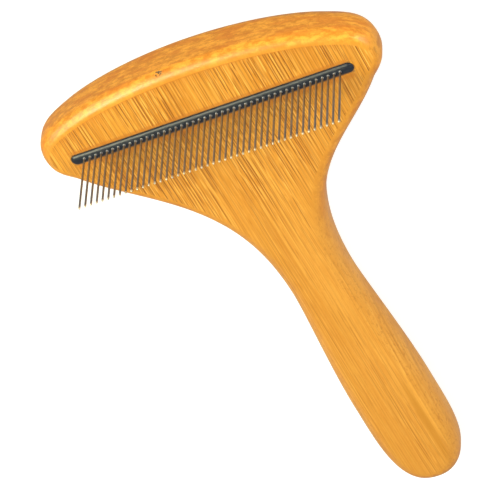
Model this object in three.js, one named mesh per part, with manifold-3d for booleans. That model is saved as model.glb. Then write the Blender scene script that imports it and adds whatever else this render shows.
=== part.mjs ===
// Grooming comb: a T-shaped bamboo board with a black bar let into its face, and one row of steel pins in the bar.
// Millimetres. The board lies flat on its back with the pins standing up: +X along the head, +Y towards the
// crown, +Z out of the face. The origin is the middle of the whole comb's footprint, on the back face.
import * as THREE from "three";
import { mergeVertices } from "three/addons/utils/BufferGeometryUtils.js";
import Module from "manifold-3d";

// Driving dimensions. Places along Y are measured from the pin row.
const PIN_COUNT = 45;
const PIN_PITCH = 2.0;
const PIN_RADIUS = 0.35;
const PIN_REACH = 24.6; // from the board's face to the pins' tips
const PIN_SEAT = 4.5; // length of each pin's root below the board's face

const BOARD_THICKNESS = 15.6;
const FACE_EDGE_RADIUS = 4.6;
const BACK_EDGE_RADIUS = 3.6;
const CROWN_Y = 20.6;
const HANDLE_END_Y = -179.2;
const HEAD_HALF_WIDTH = 57.6;
const NECK_HALF_WIDTH = 11.0;
const GRIP_HALF_WIDTH = 13.9;

const BAR_LENGTH = 97.0;
const BAR_HALF_WIDTH = 1.9;
const CREST_HEIGHT = 0.9; // of the bar above the board's face
const TENON_HALF_WIDTH = 1.6;
const TENON_DEPTH = 6.0;

const GLUE_GAP = 0.1; // all round the tenon and under it
const PIN_GAP = 0.05; // all round a pin's root and under it

// Facets.
const OUTLINE_STEPS = 8; // per curve of the board's outline
const EDGE_STEPS = 3; // per rounded edge
const BAR_SIDES = 16;
const PIN_SIDES = 8;
const TIP_STEPS = 3;

// Right half of the board's outline, from the crown's top round the tip of the head to the handle's end.
// Each point has the direction of travel there, in degrees from +X, and how far the curves before and after
// it keep close to that direction.
const HALF_OUTLINE = [
  { x: 0, y: CROWN_Y, heading: 0, after: 16.5 },
  { x: 43.8, y: 14.8, heading: -20, before: 10.8, after: 6.9 }, // crown turns into the tip
  { x: HEAD_HALF_WIDTH, y: 1.6, heading: -90, before: 8.9, after: 6.8 },
  { x: 51.3, y: -9.3, heading: -130, before: 3.0, after: 24.7 }, // tip turns into the shoulder
  { x: NECK_HALF_WIDTH, y: -82.9, heading: -90, before: 48.2, after: 9.6 },
  { x: GRIP_HALF_WIDTH, y: -138.5, heading: -90, before: 18.4, after: 19.3 },
  { x: 0, y: HANDLE_END_Y, heading: -180, before: 15.4 },
];

const MATERIALS = {
  bamboo: new THREE.MeshStandardMaterial({ color: 0xe9a344, roughness: 0.45, metalness: 0 }),
  blackBar: new THREE.MeshStandardMaterial({ color: 0x23272b, roughness: 0.4, metalness: 0 }),
  steel: new THREE.MeshStandardMaterial({ color: 0xb4b1ab, roughness: 0.28, metalness: 1 }),
};

const wasm = await Module();
wasm.setup();

// Turns a closed geometry into a solid that can be joined and cut.
function solidFrom(geometry) {
  const bare = geometry.clone();
  bare.deleteAttribute("normal");
  bare.deleteAttribute("uv");
  const merged = mergeVertices(bare, 1e-4);
  return new wasm.Manifold(
    new wasm.Mesh({
      numProp: 3,
      vertProperties: new Float32Array(merged.attributes.position.array),
      triVerts: new Uint32Array(merged.index.array),
    }),
  );
}

// Turns a solid back into a flat-shaded geometry.
function geometryFrom(solid) {
  const mesh = solid.getMesh();
  const indexed = new THREE.BufferGeometry();
  indexed.setAttribute("position", new THREE.BufferAttribute(mesh.vertProperties, 3));
  indexed.setIndex(new THREE.BufferAttribute(mesh.triVerts, 1));
  const geometry = indexed.toNonIndexed();
  geometry.computeVertexNormals();
  return geometry;
}

// A point moved by a distance in a direction given in degrees.
function moved(point, degrees, distance) {
  const angle = THREE.MathUtils.degToRad(degrees);
  return [point.x + distance * Math.cos(angle), point.y + distance * Math.sin(angle)];
}

// The whole outline: the right half downwards, then its mirror image back up the left.
function boardOutline() {
  const shape = new THREE.Shape();
  shape.moveTo(HALF_OUTLINE[0].x, HALF_OUTLINE[0].y);
  for (let i = 1; i < HALF_OUTLINE.length; i += 1) {
    const from = HALF_OUTLINE[i - 1];
    const to = HALF_OUTLINE[i];
    const [leaveX, leaveY] = moved(from, from.heading, from.after);
    const [arriveX, arriveY] = moved(to, to.heading, -to.before);
    shape.bezierCurveTo(leaveX, leaveY, arriveX, arriveY, to.x, to.y);
  }
  for (let i = HALF_OUTLINE.length - 1; i > 0; i -= 1) {
    const from = HALF_OUTLINE[i];
    const to = HALF_OUTLINE[i - 1];
    const [leaveX, leaveY] = moved(from, from.heading, -from.before);
    const [arriveX, arriveY] = moved(to, to.heading, to.after);
    shape.bezierCurveTo(-leaveX, leaveY, -arriveX, arriveY, -to.x, to.y);
  }
  return shape;
}

// A slab of the board between two heights, with every edge rounded.
function roundedSlab(bottom, top, radius) {
  const geometry = new THREE.ExtrudeGeometry(boardOutline(), {
    depth: top - bottom - 2 * radius,
    curveSegments: OUTLINE_STEPS,
    bevelThickness: radius,
    bevelSize: radius,
    bevelOffset: -radius,
    bevelSegments: EDGE_STEPS,
  });
  geometry.translate(0, 0, bottom + radius);
  return geometry;
}

// A block with half-round ends, seen from above, centred on the pin row.
function roundEndedBlock(length, halfWidth, bottom, top) {
  const straight = length / 2 - halfWidth;
  const shape = new THREE.Shape();
  shape.absarc(straight, 0, halfWidth, -Math.PI / 2, Math.PI / 2, false);
  shape.absarc(-straight, 0, halfWidth, Math.PI / 2, (3 * Math.PI) / 2, false);
  const geometry = new THREE.ExtrudeGeometry(shape, {
    depth: top - bottom,
    curveSegments: BAR_SIDES / 2,
    bevelEnabled: false,
  });
  geometry.translate(0, 0, bottom);
  return geometry;
}

// The board is rounder along its face than along its back, so it is two slabs joined, and the groove for the
// bar's tenon is cut into the face.
function bambooBody() {
  const faceSlab = roundedSlab(BACK_EDGE_RADIUS, BOARD_THICKNESS, FACE_EDGE_RADIUS);
  const backSlab = roundedSlab(0, BOARD_THICKNESS - FACE_EDGE_RADIUS, BACK_EDGE_RADIUS);
  const groove = roundEndedBlock(
    tenonLength() + 2 * GLUE_GAP,
    TENON_HALF_WIDTH + GLUE_GAP,
    BOARD_THICKNESS - TENON_DEPTH - GLUE_GAP,
    BOARD_THICKNESS + CREST_HEIGHT,
  );
  return geometryFrom(solidFrom(faceSlab).add(solidFrom(backSlab)).subtract(solidFrom(groove)));
}

// The tenon stops short of the crest's ends by as much as it does of its sides.
function tenonLength() {
  return BAR_LENGTH - 2 * (BAR_HALF_WIDTH - TENON_HALF_WIDTH);
}

// An oval rod with domed ends, lying along X with its middle in the plane of the board's face.
function domedRod() {
  const geometry = new THREE.CapsuleGeometry(
    BAR_HALF_WIDTH,
    BAR_LENGTH - 2 * BAR_HALF_WIDTH,
    BAR_SIDES / 4,
    BAR_SIDES,
  );
  geometry.rotateZ(Math.PI / 2);
  geometry.scale(1, 1, CREST_HEIGHT / BAR_HALF_WIDTH);
  geometry.translate(0, 0, BOARD_THICKNESS);
  return geometry;
}

// Blind hole for a pin's root, with its facets in line with the pin's.
function pinHole(x) {
  const depth = PIN_SEAT + PIN_GAP;
  const height = depth + 2 * CREST_HEIGHT;
  const geometry = new THREE.CylinderGeometry(PIN_RADIUS + PIN_GAP, PIN_RADIUS + PIN_GAP, height, PIN_SIDES);
  geometry.rotateX(Math.PI / 2);
  geometry.translate(x, 0, BOARD_THICKNESS - depth + height / 2);
  return geometry;
}

// Low rounded crest on a tenon, drilled for the pins.
function pinBar() {
  const above = roundEndedBlock(
    BAR_LENGTH + 2 * BAR_HALF_WIDTH,
    2 * BAR_HALF_WIDTH,
    BOARD_THICKNESS,
    BOARD_THICKNESS + 2 * CREST_HEIGHT,
  );
  const tenon = roundEndedBlock(
    tenonLength(),
    TENON_HALF_WIDTH,
    BOARD_THICKNESS - TENON_DEPTH,
    BOARD_THICKNESS + CREST_HEIGHT / 2,
  );
  let bar = solidFrom(domedRod()).intersect(solidFrom(above)).add(solidFrom(tenon));
  for (let i = 0; i < PIN_COUNT; i += 1) {
    bar = bar.subtract(solidFrom(pinHole(pinX(i))));
  }
  return geometryFrom(bar);
}

// Straight round pin with a square root and a hemispherical tip, standing on its root.
function steelPin() {
  const length = PIN_SEAT + PIN_REACH;
  const profile = [new THREE.Vector2(0, 0), new THREE.Vector2(PIN_RADIUS, 0)];
  for (let i = 0; i < TIP_STEPS; i += 1) {
    const angle = ((i / TIP_STEPS) * Math.PI) / 2;
    profile.push(
      new THREE.Vector2(PIN_RADIUS * Math.cos(angle), length - PIN_RADIUS + PIN_RADIUS * Math.sin(angle)),
    );
  }
  profile.push(new THREE.Vector2(0, length));
  const geometry = new THREE.LatheGeometry(profile, PIN_SIDES);
  geometry.rotateX(Math.PI / 2);
  return geometry;
}

function pinX(index) {
  return (index - (PIN_COUNT - 1) / 2) * PIN_PITCH;
}

function namedMesh(name, geometry, material) {
  const mesh = new THREE.Mesh(geometry, material.clone());
  mesh.name = name;
  return mesh;
}

const comb = new THREE.Group();
comb.position.y = -(CROWN_Y + HANDLE_END_Y) / 2;
comb.add(namedMesh("bamboo_body", bambooBody(), MATERIALS.bamboo));
comb.add(namedMesh("pin_bar", pinBar(), MATERIALS.blackBar));
const pinGeometry = steelPin();
for (let i = 0; i < PIN_COUNT; i += 1) {
  const pin = namedMesh(`pin_${String(i + 1).padStart(2, "0")}`, pinGeometry, MATERIALS.steel);
  pin.position.set(pinX(i), 0, BOARD_THICKNESS - PIN_SEAT);
  comb.add(pin);
}

export default comb;
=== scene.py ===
"""Looks of the grooming comb: a bamboo board, a satin black bar let into its face, a row of steel pins.

Shapes are in metres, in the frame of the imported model: +X along the head, +Y towards the crown of the head,
+Z out of the face. The comb lies on its back, with the pins standing up. Materials lay out their patterns
in millimetres.
"""
import math
from collections import namedtuple

import bmesh
import bpy
from mathutils import Matrix, Vector
from mathutils.geometry import delaunay_2d_cdt


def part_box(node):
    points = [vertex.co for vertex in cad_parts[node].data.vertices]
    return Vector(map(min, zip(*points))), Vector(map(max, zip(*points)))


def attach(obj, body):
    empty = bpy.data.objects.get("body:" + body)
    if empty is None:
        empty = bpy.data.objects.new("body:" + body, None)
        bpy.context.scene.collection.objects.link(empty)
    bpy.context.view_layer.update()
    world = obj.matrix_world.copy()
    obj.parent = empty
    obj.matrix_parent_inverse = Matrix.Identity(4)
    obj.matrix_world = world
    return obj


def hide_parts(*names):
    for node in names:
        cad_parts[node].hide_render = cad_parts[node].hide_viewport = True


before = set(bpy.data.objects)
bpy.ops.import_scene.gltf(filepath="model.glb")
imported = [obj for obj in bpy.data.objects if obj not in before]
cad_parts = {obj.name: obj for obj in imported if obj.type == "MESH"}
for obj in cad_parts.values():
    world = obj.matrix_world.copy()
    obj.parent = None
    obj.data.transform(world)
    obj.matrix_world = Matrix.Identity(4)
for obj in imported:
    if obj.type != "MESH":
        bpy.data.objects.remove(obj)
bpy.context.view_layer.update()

MM = 0.001

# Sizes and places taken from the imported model.
BOARD_LOW, BOARD_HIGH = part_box("bamboo_body")
BAR_LOW, BAR_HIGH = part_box("pin_bar")
PIN_NODES = sorted(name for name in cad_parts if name.startswith("pin_") and name != "pin_bar")
FACE_Z = BOARD_HIGH.z
ROW_Y = (BAR_LOW.y + BAR_HIGH.y) / 2
CROWN_Y = BOARD_HIGH.y - ROW_Y
HANDLE_END_Y = BOARD_LOW.y - ROW_Y
HEAD_HALF_WIDTH = BOARD_HIGH.x
BAR_HALF_LENGTH = (BAR_HIGH.x - BAR_LOW.x) / 2
BAR_HALF_WIDTH = (BAR_HIGH.y - BAR_LOW.y) / 2
CREST_HEIGHT = BAR_HIGH.z - FACE_Z
TENON_DEPTH = FACE_Z - BAR_LOW.z

# The board's outline: its right half, from the crown round the tip of the head to the handle's end. Places
# are measured from the pin row. Each knot has the direction of travel there, in degrees from +X, and how
# far the curves before and after it keep close to that direction.
Knot = namedtuple("Knot", "x y heading before after")
NECK_HALF_WIDTH = 11.0 * MM
GRIP_HALF_WIDTH = 13.9 * MM
HALF_OUTLINE = (
    Knot(0, CROWN_Y, 0, 0, 16.5 * MM),
    Knot(43.8 * MM, 14.8 * MM, -20, 10.8 * MM, 6.9 * MM),
    Knot(HEAD_HALF_WIDTH, 1.6 * MM, -90, 8.9 * MM, 6.8 * MM),
    Knot(51.3 * MM, -9.3 * MM, -130, 3.0 * MM, 24.7 * MM),
    Knot(NECK_HALF_WIDTH, -82.9 * MM, -90, 48.2 * MM, 9.6 * MM),
    Knot(GRIP_HALF_WIDTH, -138.5 * MM, -90, 18.4 * MM, 19.3 * MM),
    Knot(0, HANDLE_END_Y, -180, 15.4 * MM, 0),
)
OUTLINE_SPACING = 1.1 * MM
CURVE_SAMPLES = 160  # along each curve, before the points are spaced evenly

# The board's rounded edges. Towards the face an edge is a quarter ellipse, drop high and inset wide, and
# towards the back it is a quarter circle. It is tightest along the crown and fullest on the handle.
Edge = namedtuple("Edge", "drop inset back")
CROWN_EDGE = Edge(3.6 * MM, 4.2 * MM, 2.8 * MM)
TIP_EDGE = Edge(5.5 * MM, 3.8 * MM, 7.5 * MM)
HANDLE_EDGE = Edge(8.0 * MM, 6.0 * MM, 5.5 * MM)
HANDLE_EDGE_FROM = -45 * MM  # from the pin row
HANDLE_EDGE_FADE = 8 * MM
FACE_EDGE_STEPS = 14
SIDE_STEPS = 3
BACK_EDGE_STEPS = 10

# Points inside the flat of the face and of the back, kept clear of their rims.
CAP_SPACING = 3.0 * MM
CAP_CLEARANCE = 0.45 * CAP_SPACING
CAP_TOLERANCE = 1e-9

# Mesh edges sharper than this stay crisp.
SHARP_ANGLE = math.radians(40)

# The bar and its groove. The groove has a rebate for the bar's shoulder, a narrower slot for its tenon, a
# hair of clearance and a worn rim. The shoulder stands a little clear of the rebate's floor.
GROOVE_CLEARANCE = 0.03 * MM
RIM_RADIUS = 0.08 * MM
RIM_STEPS = 4
REBATE_DEPTH = 0.6 * MM
SHOULDER_DEPTH = 0.9 * REBATE_DEPTH
TENON_HALF_WIDTH = 1.6 * MM
SHOULDER_WIDTH = BAR_HALF_WIDTH - TENON_HALF_WIDTH
ROUND_END_STEPS = 14
STRAIGHT_SPACING = 2.0 * MM
CREST_STEPS = 12

# Pins. Each flares, just below the bar's ridge, into a small collar that tapers off above it.
PIN_SIDES = 28
TIP_LENGTH = 0.45 * MM
TIP_STEPS = 8
TIP_FLAT = 0.02  # of the pin's radius
FLARE_DEPTH = 0.3 * CREST_HEIGHT
COLLAR_DEPTH = 0.1 * CREST_HEIGHT
COLLAR_REACH = 0.25 * MM
COLLAR_HEIGHT = 0.45 * MM
COLLAR_STEPS = 6

# Camera: what it looks at, on the face, and from where. Its sensor and lens are in millimetres.
VIEW_TARGET = Vector((-13.2 * MM, 22.9 * MM, FACE_Z))
VIEW_DISTANCE = 1.1945
VIEW_AZIMUTH = math.radians(152.63)
VIEW_ELEVATION = math.radians(47.59)
VIEW_ROLL = math.radians(177.16)
SENSOR_WIDTH = 36.0
LENS = 268.66

# Lights and floor. The light from below turns into the light from above in a band round the horizon, whose
# half height is a share of straight up.
WARM = (1.0, 0.96, 0.60)
WHITE = (1.0, 1.0, 1.0)
FLASH_ASIDE = math.radians(2.2)  # from the camera
HORIZON = 0.3
FLOOR_HALF_WIDTH = 4.0

# Places that the materials use, in millimetres.
ROW = ROW_Y / MM
FACE = FACE_Z / MM
PIN_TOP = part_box(PIN_NODES[0])[1].z / MM
CREST_TOP = BAR_HIGH.z / MM
BAR_SIDE = BAR_HALF_WIDTH / MM
BAR_END = BAR_HALF_LENGTH / MM

# The head's wood is strongly lined and the handle's faintly, with a slow change between these places on Y.
HANDLE_BELOW = 5
HEAD_ABOVE = 75

# Lines in the bamboo: how far they wander sideways, the shares of their half width at which they start to
# fade and are gone, and how far each strip's breaks are from its neighbour's.
LINE_DRIFT = 3.0
LINE_FULL = 0.35
LINE_GONE = 1.3
STRIP_SHIFT = 3.7

# Marks in the bamboo: a painted shade line on the handle where its face rounds over, with a painted highlight
# line beside it, a small nick in the crown's rounded edge, and painted shade on the face along both sides of
# the bar. A mark fades out over its reach.
# Painted shade line on the handle, where its face starts to round over.
HANDLE_SHADE_LINE_PLACE = (7.6, ROW - 150.0, FACE)
HANDLE_SHADE_LINE_REACH = (1.8, 26.0, 3.0)
# Painted highlight line beside the painted shade, on the handle's round-over.
HANDLE_HIGHLIGHT_LINE_PLACE = (9.5, ROW - 140.0, FACE)
HANDLE_HIGHLIGHT_LINE_REACH = (0.9, 24.0, 3.0)
NICK_PLACE = (-8.6, ROW + 20.0, FACE - 2.0)
NICK_REACH = (1.8, 2.0, 1.1)
# Painted shade on the face along both sides of the bar: where it is full, where it is gone, and how far short
# of the bar's end it stops.
BAR_SHADE_FULL = 0.2  # beyond the bar's side
BAR_SHADE_GONE = 0.55
BAR_SHADE_END = 1.0  # before the bar's end

# How strongly the bamboo's lines and marks cover what is under them.
PALE_LINE_SHARE = 0.7
FINE_LINE_SHARE = 0.85
HANDLE_SHADE_LINE_SHARE = 0.65
HANDLE_HIGHLIGHT_LINE_SHARE = 0.35
NICK_SHARE = 1.2
BAR_SHADE_SHARE = 0.55

# Fine relief, which is shaded and not built. On the wood the lines are cut in, the nick is cut deeper still,
# and the mottling stands out a little.
WOOD_RELIEF = 0.04 * MM
NICK_CUT = 3.0
MOTTLING_RISE = 0.4
BLACK_RELIEF = 0.02 * MM
STEEL_RELIEF = 0.01 * MM

# How far a noise moves along X, Y and Z for each step of its seed.
SEED_STEP = (1.0, 1.7, 0.6)

# Painted highlights on the pins: a bright reflectance at the tip and at the collar.
TIP_HIGHLIGHT_FROM = PIN_TOP - 1.1
TIP_HIGHLIGHT_FULL = PIN_TOP - 0.5
COLLAR_HIGHLIGHT_FULL = CREST_TOP + 0.3
COLLAR_HIGHLIGHT_GONE = CREST_TOP + 0.9

# Colours, as linear red, green and blue. A pair is the two ends of a varying colour.
HEAD_WOOD = ((0.64, 0.262, 0.020), (0.72, 0.318, 0.032))
HANDLE_WOOD = ((0.635, 0.278, 0.030), (0.695, 0.318, 0.042))
FIBRE = (0.58, 0.21, 0.015)
SPECK = (0.50, 0.175, 0.012)
PALE_LINE = (0.94, 0.52, 0.11)
FINE_LINE = (0.38, 0.12, 0.002)
BOLD_LINE = (0.27, 0.078, 0.001)
END_GRAIN = ((0.60, 0.21, 0.010), (0.88, 0.38, 0.035))
END_SMEAR = (0.60, 0.165, 0.008)
END_SPECK = (0.40, 0.12, 0.010)
FLECK = (0.42, 0.14, 0.010)
# Painted shade where the head's face turns into the crown's rounded edge.
CORNER_SHADE = (0.50, 0.15, 0.008)
# Painted shade line on the handle.
HANDLE_SHADE_LINE = (0.50, 0.20, 0.010)
# Painted highlight line on the handle.
HANDLE_HIGHLIGHT_LINE = (0.86, 0.42, 0.06)
NICK = (0.13, 0.075, 0.03)
# Painted shade along the bar.
BAR_SHADE = (0.18, 0.09, 0.04)
BLACK = ((0.007, 0.010, 0.017), (0.018, 0.024, 0.036))
BLACK_SHEEN = (0.88, 0.90, 1.0, 1.0)
STEEL = ((0.28, 0.28, 0.285), (0.40, 0.40, 0.405))
# Painted highlights on the pins: a pale bluish glint at the collar and a cream one at the tip.
COLLAR_HIGHLIGHT = (0.72, 0.76, 0.84)
TIP_HIGHLIGHT = (1.0, 0.92, 0.74)
FLOOR_GREY = ((0.50, 0.50, 0.50), (0.52, 0.52, 0.52))


# ---------------------------------------------------------------- mesh building


class Solid:
    """Points and faces of one closed mesh, built loop by loop."""

    def __init__(self):
        self.points = []
        self.faces = []

    def loop(self, places):
        """Adds a closed loop of points and gives their indices."""
        first = len(self.points)
        self.points.extend(Vector(place) for place in places)
        return list(range(first, len(self.points)))

    def bridge(self, one, other):
        """Joins two loops of the same length with quads."""
        count = len(one)
        for i in range(count):
            j = (i + 1) % count
            self.faces.append((one[i], one[j], other[j], other[i]))

    def cap(self, loop):
        """Closes a loop with one face."""
        self.faces.append(tuple(loop))

    def stack(self, rings):
        """Bridges each ring to the next, and gives the first and the last."""
        loops = [self.loop(ring) for ring in rings]
        for one, other in zip(loops, loops[1:]):
            self.bridge(one, other)
        return loops[0], loops[-1]

    def flat_cap(self, loop, hole=()):
        """Fills a flat loop, round a hole if there is one, with even triangles.

        The triangulation gives points, triangles, and for each point the given points that it stands for.
        """
        height = self.points[loop[0]].z
        rim = list(loop) + list(hole)
        flat = [self.points[i].to_2d() for i in rim]
        outside = list(range(len(loop)))
        inside = list(range(len(loop), len(rim)))
        fill = even_points([flat[i] for i in outside], [flat[i] for i in inside])
        edges = [(part[i - 1], part[i]) for part in (outside, inside) for i in range(len(part))]
        made = delaunay_2d_cdt(flat + fill, edges, [], 0, CAP_TOLERANCE)
        places, triangles, sources = made[0], made[2], made[3]
        index = {}
        for i, source in enumerate(sources):
            known = [s for s in source if s < len(rim)]
            if known:
                index[i] = rim[known[0]]
            else:
                index[i] = len(self.points)
                self.points.append(Vector((places[i].x, places[i].y, height)))
        boundary = [flat[i] for i in outside]
        opening = [flat[i] for i in inside]
        for triangle in triangles:
            middle = sum((places[i] for i in triangle), Vector((0, 0))) / 3
            if holds(boundary, middle) and not (opening and holds(opening, middle)):
                self.faces.append(tuple(index[i] for i in triangle))

    def piece(self, name, material):
        """Makes the Blender object, smooth apart from its sharp edges."""
        mesh = bpy.data.meshes.new(name)
        mesh.from_pydata(self.points, [], self.faces)
        work = bmesh.new()
        work.from_mesh(mesh)
        loose = [vertex for vertex in work.verts if not vertex.link_faces]
        bmesh.ops.delete(work, geom=loose, context="VERTS")
        bmesh.ops.recalc_face_normals(work, faces=work.faces)
        work.to_mesh(mesh)
        work.free()
        mesh.shade_smooth()
        mesh.set_sharp_from_angle(angle=SHARP_ANGLE)
        mesh.materials.append(material)
        made = bpy.data.objects.new(name, mesh)
        bpy.context.scene.collection.objects.link(made)
        return made


def holds(polygon, place):
    """Whether a closed polygon has a place inside it."""
    inside = False
    for one, other in zip(polygon, polygon[1:] + polygon[:1]):
        if (one.y > place.y) != (other.y > place.y):
            crossing = one.x + (place.y - one.y) * (other.x - one.x) / (other.y - one.y)
            if place.x < crossing:
                inside = not inside
    return inside


def even_points(boundary, opening):
    """Points of a staggered grid inside a boundary and outside an opening, clear of both."""
    low = [min(place[axis] for place in boundary) for axis in (0, 1)]
    high = [max(place[axis] for place in boundary) for axis in (0, 1)]
    rows = int((high[1] - low[1]) / CAP_SPACING) + 1
    columns = int((high[0] - low[0]) / CAP_SPACING) + 1
    found = []
    for row in range(rows):
        shift = 0.5 * (row % 2)
        for column in range(columns):
            place = Vector((low[0] + (column + shift) * CAP_SPACING, low[1] + row * CAP_SPACING))
            if not holds(boundary, place) or (opening and holds(opening, place)):
                continue
            if all((place - rim).length_squared > CAP_CLEARANCE**2 for rim in boundary + opening):
                found.append(place)
    return found


# ---------------------------------------------------------------- board


def cubic(a, b, c, d, t):
    """A point t of the way along the Bezier curve with control points a to d, and its direction there."""
    s = 1 - t
    point = a * s**3 + b * (3 * s * s * t) + c * (3 * s * t * t) + d * t**3
    slope = (b - a) * (s * s) + (c - b) * (2 * s * t) + (d - c) * (t * t)
    return point, slope.normalized()


def half_outline():
    """The right half of the outline as evenly spaced (point, outward direction) pairs."""
    dense = []
    for knot, after in zip(HALF_OUTLINE, HALF_OUTLINE[1:]):
        start = Vector((knot.x, knot.y))
        end = Vector((after.x, after.y))
        leave = math.radians(knot.heading)
        arrive = math.radians(after.heading)
        out = start + Vector((math.cos(leave), math.sin(leave))) * knot.after
        back = end - Vector((math.cos(arrive), math.sin(arrive))) * after.before
        dense.extend(cubic(start, out, back, end, i / CURVE_SAMPLES) for i in range(CURVE_SAMPLES))
    dense.append((Vector((0, HANDLE_END_Y)), Vector((-1, 0))))
    travelled = [0]
    for (one, _), (other, _) in zip(dense, dense[1:]):
        travelled.append(travelled[-1] + (other - one).length)
    count = round(travelled[-1] / OUTLINE_SPACING)
    even = []
    i = 0
    for step in range(count + 1):
        target = travelled[-1] * step / count
        while i < len(dense) - 2 and travelled[i + 1] < target:
            i += 1
        share = (target - travelled[i]) / (travelled[i + 1] - travelled[i])
        point = dense[i][0].lerp(dense[i + 1][0], share)
        along = dense[i][1].lerp(dense[i + 1][1], share).normalized()
        even.append((point, Vector((-along.y, along.x))))
    return even


def whole_outline():
    """The closed outline: the right half downwards, then its mirror image back up the left."""
    right = half_outline()
    left = []
    for point, outward in reversed(right[1:-1]):
        left.append((Vector((-point.x, point.y)), Vector((-outward.x, outward.y))))
    return right + left


def edge_at(place):
    """The edge's measures at a place on the outline, blended from the crown's, tip's and handle's."""
    handle = 1 / (1 + math.exp((place.y - HANDLE_EDGE_FROM) / HANDLE_EDGE_FADE))
    tip = min(abs(place.x) / HEAD_HALF_WIDTH, 1) ** 2 * (1 - handle)
    crown = 1 - handle - tip
    measures = zip(CROWN_EDGE, TIP_EDGE, HANDLE_EDGE)
    return Edge(*(crown * a + tip * b + handle * c for a, b, c in measures))


def edge_profile(edge):
    """(inset, height) pairs down one edge, from the flat of the face round to the flat of the back."""
    profile = []
    for step in range(FACE_EDGE_STEPS + 1):
        angle = math.pi / 2 * (1 - step / FACE_EDGE_STEPS)
        profile.append((edge.inset * (1 - math.cos(angle)), FACE_Z - edge.drop * (1 - math.sin(angle))))
    side_top = FACE_Z - edge.drop
    for step in range(1, SIDE_STEPS):
        profile.append((0, side_top + (edge.back - side_top) * step / SIDE_STEPS))
    for step in range(BACK_EDGE_STEPS + 1):
        angle = math.pi / 2 * step / BACK_EDGE_STEPS
        profile.append((edge.back * (1 - math.cos(angle)), edge.back * (1 - math.sin(angle))))
    return profile


def stadium(half_length, half_width, z):
    """A loop with straight sides and half-round ends, round the pin row."""
    reach = half_length - half_width
    straight = max(2, round(2 * reach / STRAIGHT_SPACING))
    places = []
    for side in (1, -1):
        for step in range(ROUND_END_STEPS + 1):
            angle = math.pi * (step / ROUND_END_STEPS - 0.5)
            x = side * (reach + half_width * math.cos(angle))
            places.append((x, ROW_Y + side * half_width * math.sin(angle), z))
        for step in range(1, straight):
            places.append((side * reach * (1 - 2 * step / straight), ROW_Y + side * half_width, z))
    return places


def groove_rings():
    """The groove's loops, from its worn rim down to its floor."""
    width = BAR_HALF_WIDTH + GROOVE_CLEARANCE
    length = BAR_HALF_LENGTH + GROOVE_CLEARANCE
    rings = []
    for step in range(RIM_STEPS + 1):
        angle = math.pi / 2 * step / RIM_STEPS
        out = RIM_RADIUS * (1 - math.sin(angle))
        rings.append(stadium(length + out, width + out, FACE_Z - RIM_RADIUS * (1 - math.cos(angle))))
    rings.append(stadium(length, width, FACE_Z - REBATE_DEPTH))
    length -= SHOULDER_WIDTH
    width -= SHOULDER_WIDTH
    rings.append(stadium(length, width, FACE_Z - REBATE_DEPTH))
    rings.append(stadium(length, width, FACE_Z - TENON_DEPTH - GROOVE_CLEARANCE))
    return rings


def board(material):
    """The bamboo board, with its rounded edges and the bar's groove."""
    solid = Solid()
    outline = whole_outline()
    profiles = [edge_profile(edge_at(point)) for point, _ in outline]
    rings = []
    for row in range(len(profiles[0])):
        ring = []
        for (point, outward), profile in zip(outline, profiles):
            inset, height = profile[row]
            place = point - outward * inset
            ring.append((place.x, ROW_Y + place.y, height))
        rings.append(ring)
    face_rim, back_rim = solid.stack(rings)
    groove_rim, groove_floor = solid.stack(groove_rings())
    solid.flat_cap(face_rim, groove_rim)
    solid.flat_cap(back_rim)
    solid.cap(groove_floor)
    return solid.piece("bamboo_board", material)


# ---------------------------------------------------------------- bar and pins


def turned(solid, x, profile, sides):
    """Adds a closed turned shape on a pin's axis, from (radius, height) pairs, lowest first."""
    rings = []
    for radius, height in profile:
        angles = [2 * math.pi * i / sides for i in range(sides)]
        rings.append([(x + radius * math.cos(a), ROW_Y + radius * math.sin(a), height) for a in angles])
    bottom, top = solid.stack(rings)
    solid.cap(bottom)
    solid.cap(top)


def bar(material):
    """The black bar: a low crest with domed ends, on a tenon."""
    solid = Solid()
    tenon_half_length = BAR_HALF_LENGTH - SHOULDER_WIDTH
    rings = [
        stadium(tenon_half_length, TENON_HALF_WIDTH, FACE_Z - TENON_DEPTH),
        stadium(tenon_half_length, TENON_HALF_WIDTH, FACE_Z - SHOULDER_DEPTH),
        stadium(BAR_HALF_LENGTH, BAR_HALF_WIDTH, FACE_Z - SHOULDER_DEPTH),
    ]
    for step in range(CREST_STEPS):
        angle = math.pi / 2 * step / CREST_STEPS
        inset = BAR_HALF_WIDTH * (1 - math.cos(angle))
        height = FACE_Z + CREST_HEIGHT * math.sin(angle)
        rings.append(stadium(BAR_HALF_LENGTH - inset, BAR_HALF_WIDTH - inset, height))
    bottom, ridge = solid.stack(rings)
    solid.cap(bottom)
    solid.cap(ridge)
    return solid.piece("black_bar", material)


def pin(name, node, material):
    """One steel pin with a collar at its root and a rounded tip, where its CAD node stands."""
    low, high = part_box(node)
    radius = (high.x - low.x) / 2
    crest = FACE_Z + CREST_HEIGHT
    profile = [(radius, low.z), (radius, crest - FLARE_DEPTH)]
    for step in range(COLLAR_STEPS + 1):
        angle = math.pi / 2 * step / COLLAR_STEPS
        reach = COLLAR_REACH * (1 - math.sin(angle))
        rise = COLLAR_HEIGHT * (1 - math.cos(angle))
        profile.append((radius + reach, crest - COLLAR_DEPTH + rise))
    for step in range(TIP_STEPS):
        angle = math.pi / 2 * step / TIP_STEPS
        profile.append((radius * math.cos(angle), high.z - TIP_LENGTH * (1 - math.sin(angle))))
    profile.append((radius * TIP_FLAT, high.z))
    solid = Solid()
    turned(solid, (low.x + high.x) / 2, profile, PIN_SIDES)
    return solid.piece(name, material)


# ---------------------------------------------------------------- materials


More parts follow.
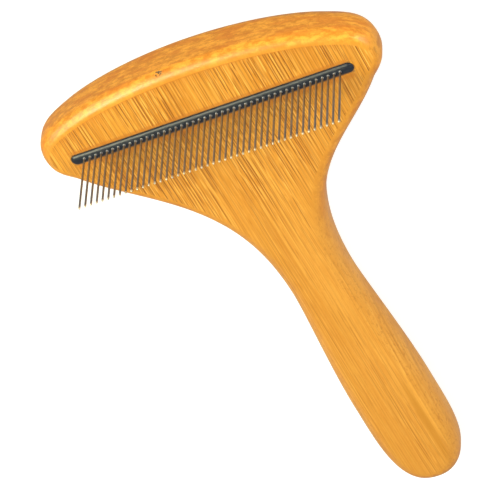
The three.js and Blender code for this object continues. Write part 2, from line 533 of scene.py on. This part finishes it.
class Shader:
    """One material's nodes."""

    def __init__(self, name):
        self.material = bpy.data.materials.new(name)
        self.material.use_nodes = True
        self.tree = self.material.node_tree
        self.surface = self.tree.nodes["Principled BSDF"]
        place = self.node("TexCoord").outputs["Object"]
        self.place = self.node("VectorMath", {0: place, "Scale": 1 / MM}, operation="SCALE").outputs[0]

    def node(self, kind, inputs=None, **settings):
        """Adds a node; an input is a value or another node's output."""
        made = self.tree.nodes.new("ShaderNode" + kind)
        for name, value in settings.items():
            setattr(made, name, value)
        for name, value in (inputs or {}).items():
            self.feed(made, name, value)
        return made

    def feed(self, node, name, value):
        """Gives a node's input a value, or links another node's output to it."""
        if isinstance(value, bpy.types.NodeSocket):
            self.tree.links.new(value, node.inputs[name])
        else:
            node.inputs[name].default_value = value

    def noise(self, per_mm, detail=2.0, roughness=0.5, seed=0.0):
        """Noise with so many features per millimetre along X, Y and Z, moved elsewhere by the seed."""
        moved = tuple(seed * step for step in SEED_STEP)
        mapping = {"Vector": self.place, "Location": moved, "Scale": per_mm}
        vector = self.node("Mapping", mapping).outputs[0]
        inputs = {"Vector": vector, "Scale": 1.0, "Detail": detail, "Roughness": roughness}
        return self.node("TexNoise", inputs).outputs["Fac"]

    def spread(self, value, low, high, to_low=0.0, to_high=1.0):
        """Maps a range smoothly onto another."""
        inputs = {"Value": value, "From Min": low, "From Max": high, "To Min": to_low, "To Max": to_high}
        made = self.node("MapRange", inputs, interpolation_type="SMOOTHSTEP")
        return made.outputs["Result"]

    def math(self, operation, one, other=0.0):
        """An arithmetic operation on one or two values."""
        return self.node("Math", {0: one, 1: other}, operation=operation).outputs[0]

    def product(self, value, *factors):
        """Several values multiplied."""
        for factor in factors:
            value = self.math("MULTIPLY", value, factor)
        return value

    def mix(self, share, one, other):
        """Mixes two colours."""
        made = self.node("Mix", data_type="RGBA")
        self.feed(made, "Factor", share)
        for socket, value in zip((s for s in made.inputs if s.type == "RGBA"), (one, other)):
            if isinstance(value, bpy.types.NodeSocket):
                self.tree.links.new(value, socket)
            else:
                socket.default_value = (*value, 1)
        return next(s for s in made.outputs if s.type == "RGBA")

    def bump(self, height, depth):
        """Relief on the surface, so many metres deep."""
        made = self.node("Bump", {"Height": height, "Strength": 1.0, "Distance": depth})
        self.feed(self.surface, "Normal", made.outputs[0])

    def set(self, **values):
        """Sets the surface's own values, with spaces in their names as underscores."""
        for name, value in values.items():
            self.feed(self.surface, name.replace("_", " "), value)


class Wood(Shader):
    """The bamboo's nodes, with the values that several of its layers share.

    endwise is 1 where the surface faces along Y and cuts the fibres; head goes from 0 on the handle to 1.
    """

    def __init__(self):
        super().__init__("bamboo")
        normal = self.node("NewGeometry").outputs["Normal"]
        self.facing = self.node("SeparateXYZ", {0: normal}).outputs
        self.spot = self.node("SeparateXYZ", {0: self.place}).outputs
        self.endwise = self.math("ABSOLUTE", self.facing["Y"])
        self.head = self.spread(self.spot["Y"], HANDLE_BELOW, HEAD_ABOVE)
        self.speck = self.noise((2.2, 0.5, 2.2), detail=3, roughness=0.7, seed=17)
        self.blotch = self.noise((0.35, 0.35, 0.85), detail=5, roughness=0.68, seed=41)


def bare_wood(wood):
    """The colour under the lines: faint fibres and specks on slowly changing wood."""
    tone = wood.spread(wood.noise((0.06, 0.02, 0.08), detail=3, seed=3), 0.35, 0.65)
    colour = wood.mix(wood.head, wood.mix(tone, *HANDLE_WOOD), wood.mix(tone, *HEAD_WOOD))
    fibre = wood.noise((1.5, 0.05, 1.2), detail=2, seed=5)
    colour = wood.mix(wood.spread(fibre, 0.35, 0.65, 0, 0.4), colour, FIBRE)
    return wood.mix(wood.spread(wood.speck, 0.5, 0.75, 0, 0.35), colour, SPECK)


def streaks(wood, spacing, half_width, dash, seed):
    """Thin broken lines along Y, one in each strip of the board, each with its own place and strength."""
    drift = wood.product(wood.noise((0.02, 0.012, 0.05), detail=1, seed=seed), LINE_DRIFT)
    across = wood.math("DIVIDE", wood.math("ADD", wood.spot["X"], drift), spacing)
    strip = wood.math("FLOOR", across)
    chance = wood.node("TexWhiteNoise", {"W": wood.math("ADD", strip, seed)}, noise_dimensions="1D")
    chances = wood.node("SeparateColor", {0: chance.outputs["Color"]}).outputs
    middle = wood.spread(chances["Red"], 0, 1, 0.2, 0.8)
    aside = wood.math("ABSOLUTE", wood.math("SUBTRACT", wood.math("FRACT", across), middle))
    line = wood.spread(aside, LINE_FULL * half_width / spacing, LINE_GONE * half_width / spacing, 1, 0)
    along = {0: wood.product(strip, STRIP_SHIFT), 1: wood.product(wood.spot["Y"], dash), 2: seed}
    place = wood.node("CombineXYZ", along).outputs[0]
    breaks = wood.node("TexNoise", {"Vector": place, "Scale": 1.0, "Detail": 1.0}).outputs["Fac"]
    strength = wood.spread(chances["Green"], 0, 1, 0.55, 1.15)
    return wood.product(line, wood.spread(breaks, 0.37, 0.50), strength)


def fibre_lines(wood):
    """Bold, fine and pale lines in loose clusters, faint on the handle, with none on the end grain."""
    cluster = wood.spread(wood.noise((0.12, 0.02, 0.1), seed=11), 0.38, 0.58, 0.45, 1.0)
    on_head = wood.spread(wood.head, 0, 1, 0.35, 1.0)
    off_ends = wood.spread(wood.endwise, 0.03, 0.12, 1, 0)
    strength = wood.product(cluster, on_head, off_ends)
    bold = streaks(wood, spacing=1.05, half_width=0.2, dash=0.07, seed=13)
    fine = streaks(wood, spacing=0.75, half_width=0.14, dash=0.1, seed=37)
    pale = streaks(wood, spacing=0.97, half_width=0.22, dash=0.1, seed=71)
    return [wood.product(line, strength) for line in (bold, fine, pale)]


def end_grain(wood):
    """The mottled colour of cut fibres, on edges that face along Y."""
    smear = wood.noise((0.1, 0.06, 0.45), detail=4, roughness=0.6, seed=53)
    colour = wood.mix(wood.spread(wood.blotch, 0.36, 0.64), *END_GRAIN)
    colour = wood.mix(wood.spread(smear, 0.46, 0.62, 0, 0.6), colour, END_SMEAR)
    return wood.mix(wood.spread(wood.speck, 0.5, 0.72, 0, 0.4), colour, END_SPECK)


def flecks(wood):
    """Small dark flecks away from the face and from the end grain."""
    scattered = wood.noise((1.3, 0.6, 1.3), detail=4, roughness=0.65, seed=61)
    off_face = wood.spread(wood.facing["Z"], 0.8, 1.0, 1, 0)
    off_ends = wood.spread(wood.endwise, 0.1, 0.5, 1, 0)
    return wood.product(wood.spread(scattered, 0.53, 0.64, 0, 0.5), off_face, off_ends)


def painted_corner_shade(wood):
    """Painted shade: a darker line where the flats of the head turn into the crown's edge."""
    starting = wood.spread(wood.endwise, 0.0, 0.06)
    ending = wood.spread(wood.endwise, 0.06, 0.14, 1, 0)
    on_crown = wood.spread(wood.head, 0.9, 1.0, 0, 0.6)
    sidewise = wood.math("ABSOLUTE", wood.facing["X"])
    return wood.product(starting, ending, on_crown, wood.spread(sidewise, 0.0, 0.04, 1, 0))


def near(wood, centre, reach):
    """1 at a place, fading to 0 at so many millimetres from it along each axis."""
    parts = []
    for axis, middle, half in zip("XYZ", centre, reach):
        share = wood.math("DIVIDE", wood.math("SUBTRACT", wood.spot[axis], middle), half)
        parts.append(wood.math("MULTIPLY", share, share))
    total = wood.math("ADD", wood.math("ADD", parts[0], parts[1]), parts[2])
    return wood.spread(total, 0.0, 1.0, 1.0, 0.0)


def nick(wood):
    """A small ragged chip."""
    pits = wood.noise((1.0, 1.0, 1.3), detail=1, seed=29)
    return wood.product(near(wood, NICK_PLACE, NICK_REACH), NICK_SHARE, wood.spread(pits, 0.46, 0.54))


def painted_bar_shade(wood):
    """Painted shade: a thin dark line on the face along both sides of the bar, where the bar meets it."""
    beside = wood.math("ABSOLUTE", wood.math("SUBTRACT", wood.spot["Y"], ROW))
    along = wood.math("ABSOLUTE", wood.spot["X"])
    line = wood.spread(beside, BAR_SIDE + BAR_SHADE_FULL, BAR_SIDE + BAR_SHADE_GONE, BAR_SHADE_SHARE, 0)
    short_of_end = wood.spread(along, BAR_END - BAR_SHADE_END, BAR_END, 1, 0)
    return wood.product(line, short_of_end, wood.spread(wood.facing["Z"], 0.9, 1.0))


def bamboo():
    """Lacquered bamboo: broken lines along Y, mottled end grain on the edges across it, and a few marks."""
    wood = Wood()
    bold, fine, pale = fibre_lines(wood)
    chip = nick(wood)
    layers = (
        (wood.product(pale, PALE_LINE_SHARE), PALE_LINE),
        (wood.product(fine, FINE_LINE_SHARE), FINE_LINE),
        (bold, BOLD_LINE),
        (wood.spread(wood.endwise, 0.06, 0.6), end_grain(wood)),
        (flecks(wood), FLECK),
        # painted shade where the face turns into the crown's edge
        (painted_corner_shade(wood), CORNER_SHADE),
        # painted shade line on the handle's rounded edge
        (wood.product(near(wood, HANDLE_SHADE_LINE_PLACE, HANDLE_SHADE_LINE_REACH), HANDLE_SHADE_LINE_SHARE), HANDLE_SHADE_LINE),
        # painted highlight line on the handle's rounded edge
        (wood.product(near(wood, HANDLE_HIGHLIGHT_LINE_PLACE, HANDLE_HIGHLIGHT_LINE_REACH), HANDLE_HIGHLIGHT_LINE_SHARE), HANDLE_HIGHLIGHT_LINE),
        (chip, NICK),
        # painted shade on the face along both sides of the bar
        (painted_bar_shade(wood), BAR_SHADE),
    )
    colour = bare_wood(wood)
    for share, tint in layers:
        colour = wood.mix(share, colour, tint)
    wood.set(Base_Color=colour, Specular_IOR_Level=0.7)
    wood.set(Roughness=wood.spread(wood.blotch, 0.3, 0.7, 0.28, 0.4))
    cuts = wood.math("ADD", wood.math("ADD", bold, fine), wood.product(chip, NICK_CUT))
    wood.bump(wood.math("SUBTRACT", wood.product(wood.blotch, MOTTLING_RISE), cuts), WOOD_RELIEF)
    return wood.material


def satin_black():
    """Satin black, faintly scuffed."""
    shader = Shader("satin_black")
    scuff = shader.noise((0.6, 2.5, 2.5), detail=4, roughness=0.6, seed=7)
    shader.set(Base_Color=shader.mix(shader.spread(scuff, 0.4, 0.7), *BLACK))
    shader.set(Roughness=shader.spread(scuff, 0.35, 0.7, 0.3, 0.42))
    shader.set(Specular_IOR_Level=0.75, Specular_Tint=BLACK_SHEEN)
    shader.bump(scuff, BLACK_RELIEF)
    return shader.material


def drawn_steel():
    """Drawn steel wire with faint lines along its length, with painted highlights: a bright reflectance at
    the tip and at the collar.
    """
    shader = Shader("drawn_steel")
    height = shader.node("SeparateXYZ", {0: shader.place}).outputs["Z"]
    # Painted highlights: a cream reflectance at the tip and a pale one at the collar.
    tip = shader.spread(height, TIP_HIGHLIGHT_FROM, TIP_HIGHLIGHT_FULL)
    collar = shader.spread(height, COLLAR_HIGHLIGHT_FULL, COLLAR_HIGHLIGHT_GONE, 1, 0)
    lines = shader.noise((6.0, 6.0, 0.25), detail=3, seed=2)
    colour = shader.mix(shader.spread(lines, 0.35, 0.65), *STEEL)
    colour = shader.mix(collar, colour, COLLAR_HIGHLIGHT)
    colour = shader.mix(tip, colour, TIP_HIGHLIGHT)
    shader.set(Base_Color=colour, Metallic=1.0)
    shader.set(Roughness=shader.spread(lines, 0.35, 0.65, 0.34, 0.44))
    shader.bump(lines, STEEL_RELIEF)
    return shader.material


def pale_floor():
    """A pale matt floor that glows enough to stay even."""
    shader = Shader("pale_floor")
    shader.set(Base_Color=shader.mix(shader.noise((0.05, 0.05, 0.05)), *FLOOR_GREY))
    shader.set(Roughness=0.9, Specular_IOR_Level=0.1)
    shader.set(Emission_Color=(1, 1, 1, 1), Emission_Strength=0.7)
    return shader.material


# ---------------------------------------------------------------- stage


def floor():
    """A plain floor under the comb, which the comb doesn't mirror and which doesn't light or shade it."""
    solid = Solid()
    half = FLOOR_HALF_WIDTH
    solid.cap(solid.loop([(-half, -half, 0), (half, -half, 0), (half, half, 0), (-half, half, 0)]))
    made = solid.piece("floor", pale_floor())
    made.visible_glossy = False
    made.visible_diffuse = False
    made.visible_shadow = False


def light(name, direction, distance, size, power, colour, mirrored=True):
    """A square softbox that faces the head of the comb, and shows in glossy surfaces or not."""
    data = bpy.data.lights.new(name, "AREA")
    data.shape = "SQUARE"
    data.size = size
    data.energy = power
    data.color = colour
    lamp = bpy.data.objects.new(name, data)
    lamp.visible_glossy = mirrored
    target = Vector((0, ROW_Y / 2, FACE_Z))
    lamp.location = target + Vector(direction).normalized() * distance
    lamp.rotation_mode = "QUATERNION"
    lamp.rotation_quaternion = (target - lamp.location).to_track_quat("-Z", "Y")
    bpy.context.scene.collection.objects.link(lamp)


def lights():
    """A small flash by the camera and softboxes round the comb; only the warm ones show in its gloss."""
    flash = towards(VIEW_AZIMUTH + FLASH_ASIDE, VIEW_ELEVATION)
    light("flash", flash, distance=1.25, size=0.06, power=3.0, colour=WHITE, mirrored=False)
    light("key", (-0.475, 0.38, 0.79), distance=1.3, size=0.5, power=9.5, colour=WARM)
    light("front", (-0.18, 0.57, 0.80), distance=1.5, size=0.7, power=3.0, colour=WARM)
    light("spot", (0.78, 0.47, 0.48), distance=1.4, size=0.35, power=4.0, colour=WARM)
    light("right", (0.95, 0.22, 0.30), distance=1.5, size=0.8, power=16.5, colour=WHITE, mirrored=False)
    light("left", (-0.90, -0.35, 0.30), distance=1.5, size=1.0, power=6.0, colour=WHITE, mirrored=False)
    light("fill", (-0.66, 0.60, 0.42), distance=1.5, size=0.8, power=10.5, colour=WARM)


def surroundings(below, above):
    """White light from everywhere, with one strength from below and another from above."""
    world = bpy.data.worlds.new("studio")
    world.use_nodes = True
    tree = world.node_tree
    background = tree.nodes["Background"]
    background.inputs["Color"].default_value = (1, 1, 1, 1)
    direction = tree.nodes.new("ShaderNodeTexCoord").outputs["Generated"]
    split = tree.nodes.new("ShaderNodeSeparateXYZ")
    rise = tree.nodes.new("ShaderNodeMapRange")
    tree.links.new(direction, split.inputs[0])
    tree.links.new(split.outputs["Z"], rise.inputs["Value"])
    settings = {"From Min": -HORIZON, "From Max": HORIZON, "To Min": below, "To Max": above}
    for name, value in settings.items():
        rise.inputs[name].default_value = value
    tree.links.new(rise.outputs["Result"], background.inputs["Strength"])
    bpy.context.scene.world = world


def towards(azimuth, elevation):
    """The direction from the comb to something at an azimuth, from -Y towards +X, and an elevation."""
    level = math.cos(elevation)
    return Vector((math.sin(azimuth) * level, -math.cos(azimuth) * level, math.sin(elevation)))


def camera():
    """The camera, rolled about its line of sight so that the crown of the head is up in the picture."""
    back = towards(VIEW_AZIMUTH, VIEW_ELEVATION)
    level = Vector((0, 0, 1)).cross(back).normalized()
    upright = back.cross(level)
    right = level * math.cos(VIEW_ROLL) - upright * math.sin(VIEW_ROLL)
    up = upright * math.cos(VIEW_ROLL) + level * math.sin(VIEW_ROLL)
    data = bpy.data.cameras.new("camera")
    data.sensor_width = SENSOR_WIDTH
    data.lens = LENS
    made = bpy.data.objects.new("camera", data)
    turn = Matrix((right, up, back)).transposed().to_4x4()
    made.matrix_world = Matrix.Translation(VIEW_TARGET + back * VIEW_DISTANCE) @ turn
    bpy.context.scene.collection.objects.link(made)
    bpy.context.scene.camera = made


def build():
    """Makes every piece, and hides the CAD node that each one stands in for."""
    boards = board(bamboo())
    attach(boards, "root")
    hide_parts("bamboo_body")

    crest = bar(satin_black())
    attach(crest, "root")
    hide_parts("pin_bar")

    steel = drawn_steel()
    for node in PIN_NODES:
        wire = pin("steel_" + node, node, steel)
        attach(wire, "root")
        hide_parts(node)


camera()
build()
floor()
lights()
surroundings(below=0.38, above=0.31)
bpy.context.scene.view_settings.view_transform = "Standard"
